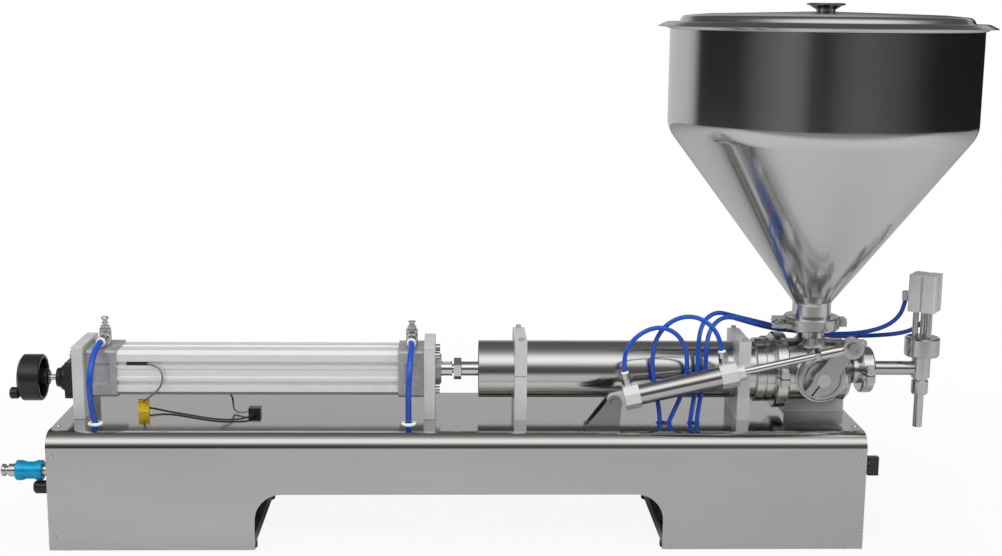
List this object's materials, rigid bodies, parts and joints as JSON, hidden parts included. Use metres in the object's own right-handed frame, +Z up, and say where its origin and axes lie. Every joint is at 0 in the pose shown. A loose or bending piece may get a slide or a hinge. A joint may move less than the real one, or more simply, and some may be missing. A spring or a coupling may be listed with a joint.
{
  "type": "piston paste filling machine",
  "caption": "Bench-top pneumatic piston filler: air cylinder, material cylinder, three-way rotary valve with lever drive, conical hopper with lid and shut-off nozzle on an arched base.",
  "frame": {"origin": "centre of the overall footprint at the floor, under the rubber feet", "axes": "+X along the cylinders from the handwheel to the nozzle, +Y away from the operator, +Z up"},
  "size_m": [1.285, 0.432, 0.7022],
  "materials": {
    "stainless_brushed": "satin brushed stainless sheet",
    "stainless_polished": "polished stainless steel",
    "plate_aluminium": "bead-blasted aluminium plate",
    "cast_aluminium": "die-cast aluminium",
    "anodised_tube": "clear anodised extrusion",
    "hard_chrome": "ground and chromed steel",
    "bright_fittings": "nickel-plated fittings and screws",
    "black_metal": "black anodised aluminium",
    "black_plastic": "black plastic",
    "black_rubber": "black rubber",
    "white_seal": "white silicone",
    "white_plastic": "white plastic",
    "piston_plastic": "white PTFE",
    "blue_hose": "blue polyurethane hose",
    "grey_lead": "grey lead jacket",
    "yellow_tag": "yellow marker tag",
    "blue_anodised": "blue anodised aluminium"
  },
  "bodies": {
    "machine": {"base_channel": "stainless_brushed", "end_panels": "stainless_brushed", "rubber_feet": "black_rubber", "panel_screws": "bright_fittings", "mount_plates": "plate_aluminium", "rear_cylinder_cover": "cast_aluminium", "cylinder_tube": "anodised_tube", "front_cylinder_cover": "cast_aluminium", "socket_screws": "bright_fittings", "adjuster_block": "black_metal", "tube_clamps": "plate_aluminium", "material_cylinder": "stainless_polished", "end_collar": "stainless_polished", "pipe_clamps": "stainless_polished", "clamp_gaskets": "white_seal", "valve_stand": "stainless_brushed", "valve_body": "stainless_polished", "valve_cover": "stainless_polished", "hopper": "stainless_polished", "outlet_tube": "stainless_polished", "nozzle_body": "stainless_brushed", "nozzle_cylinder": "anodised_tube", "nozzle_tip": "stainless_brushed", "speed_controllers": "bright_fittings", "hose_grommets": "white_plastic", "rear_cylinder_hose": "blue_hose", "front_cylinder_hose": "blue_hose", "nozzle_hose_upper": "blue_hose", "nozzle_hose_lower": "blue_hose", "sensor_lead_rear": "grey_lead", "sensor_lead_long": "grey_lead", "sensor_lead_front": "grey_lead", "reed_switches": "black_plastic", "lead_tag": "yellow_tag", "cylinder_bracket": "stainless_brushed", "panel_fittings": "bright_fittings", "control_valve": "cast_aluminium"},
    "main_piston": {"piston_rod": "hard_chrome", "pushrod": "hard_chrome", "material_piston": "piston_plastic"},
    "adjuster_wheel": {"handwheel": "black_plastic", "stroke_screw": "hard_chrome"},
    "wheel_grip": {"handwheel_grip": "black_plastic"},
    "adjuster_sleeve": {"stop_sleeve": "stainless_brushed"},
    "valve_rotor": {"valve_lever": "stainless_brushed", "valve_core": "stainless_polished"},
    "lever_eye": {"rod_eye": "stainless_polished"},
    "link_cylinder": {"valve_cylinder": "stainless_polished", "valve_hose_rear": "blue_hose", "valve_hose_front": "blue_hose"},
    "link_rod": {"valve_cylinder_rod": "hard_chrome"},
    "plunger": {"nozzle_plunger": "hard_chrome"},
    "lid": {"hopper_lid": "stainless_polished"},
    "rear_needle": {"speed_screw_rear": "bright_fittings"},
    "front_needle": {"speed_screw_front": "bright_fittings"},
    "inlet_slide": {"slide_sleeve": "blue_anodised"},
    "selector": {"selector_knob": "black_plastic"},
    "body_wing": {"wing_nut_body": "stainless_polished"},
    "outlet_wing": {"wing_nut_outlet": "stainless_polished"},
    "hopper_wing": {"wing_nut_hopper": "stainless_polished"}
  },
  "joints": [
    {"name": "main_stroke", "type": "slide", "parent": "machine", "child": "main_piston", "axis": [1, 0, 0], "range_m": [0, 0.25]},
    {"name": "stroke_adjust", "type": "hinge", "parent": "machine", "child": "adjuster_wheel", "pos_m": [-0.6055, 0, 0.2015], "axis": [1, 0, 0], "range_deg": [0, 2160]},
    {"name": "grip_spin", "type": "hinge", "parent": "adjuster_wheel", "child": "wheel_grip", "pos_m": [-0.6355, -0.0135, 0.1835], "axis": [1, 0, 0], "continuous": true},
    {"name": "sleeve_travel", "type": "slide", "parent": "machine", "child": "adjuster_sleeve", "axis": [-1, 0, 0], "range_m": [0, 0.012]},
    {"name": "valve_turn", "type": "hinge", "parent": "machine", "child": "valve_rotor", "pos_m": [0.4315, 0, 0.2145], "axis": [0, -1, 0], "range_deg": [0, 90]},
    {"name": "eye_turn", "type": "hinge", "parent": "valve_rotor", "child": "lever_eye", "pos_m": [0.465, -0.072, 0.26061], "axis": [0, -1, 0], "range_deg": [-89, 0]},
    {"name": "cylinder_tilt", "type": "hinge", "parent": "machine", "child": "link_cylinder", "pos_m": [0.155, -0.072, 0.19], "axis": [0, -1, 0], "range_deg": [0, 1.35]},
    {"name": "valve_rod_travel", "type": "slide", "parent": "link_cylinder", "child": "link_rod", "axis": [0.975, 0, 0.2221], "range_m": [-0.081, 0]},
    {"name": "nozzle_opening", "type": "slide", "parent": "machine", "child": "plunger", "axis": [0, 0, 1], "range_m": [0, 0.015]},
    {"name": "lid_lift", "type": "slide", "parent": "machine", "child": "lid", "axis": [0, 0, 1], "range_m": [0, 0.25]},
    {"name": "rear_speed", "type": "hinge", "parent": "machine", "child": "rear_needle", "pos_m": [-0.5161, 0, 0.27], "axis": [0, 0, 1], "range_deg": [-1440, 1440]},
    {"name": "front_speed", "type": "hinge", "parent": "machine", "child": "front_needle", "pos_m": [-0.1098, 0, 0.27], "axis": [0, 0, 1], "range_deg": [-1440, 1440]},
    {"name": "inlet_slide_travel", "type": "slide", "parent": "machine", "child": "inlet_slide", "axis": [1, 0, 0], "range_m": [0, 0.008]},
    {"name": "selector_turn", "type": "hinge", "parent": "machine", "child": "selector", "pos_m": [0.4785, -0.08, 0.104], "axis": [1, 0, 0], "range_deg": [-45, 45]},
    {"name": "body_wing_turn", "type": "hinge", "parent": "machine", "child": "body_wing", "pos_m": [0.3823, 0.0603, 0.23], "axis": [0, 0, 1], "range_deg": [0, 1080]},
    {"name": "outlet_wing_turn", "type": "hinge", "parent": "machine", "child": "outlet_wing", "pos_m": [0.5015, 0.03785, 0.23], "axis": [0, 0, 1], "range_deg": [0, 1080]},
    {"name": "hopper_wing_turn", "type": "hinge", "parent": "machine", "child": "hopper_wing", "pos_m": [0.3809, -0.015, 0.2805], "axis": [0, -1, 0], "range_deg": [0, 1080]}
  ],
  "couplings": [
    {"joint": "sleeve_travel", "follows": "stroke_adjust", "m_per_rad": 0.000318},
    {"joint": "eye_turn", "follows": "valve_turn", "ratio": -0.98556},
    {"joint": "cylinder_tilt", "follows": "valve_turn", "ratio": 0.014438},
    {"joint": "valve_rod_travel", "follows": "valve_turn", "m_per_rad": -0.051164}
  ]
}
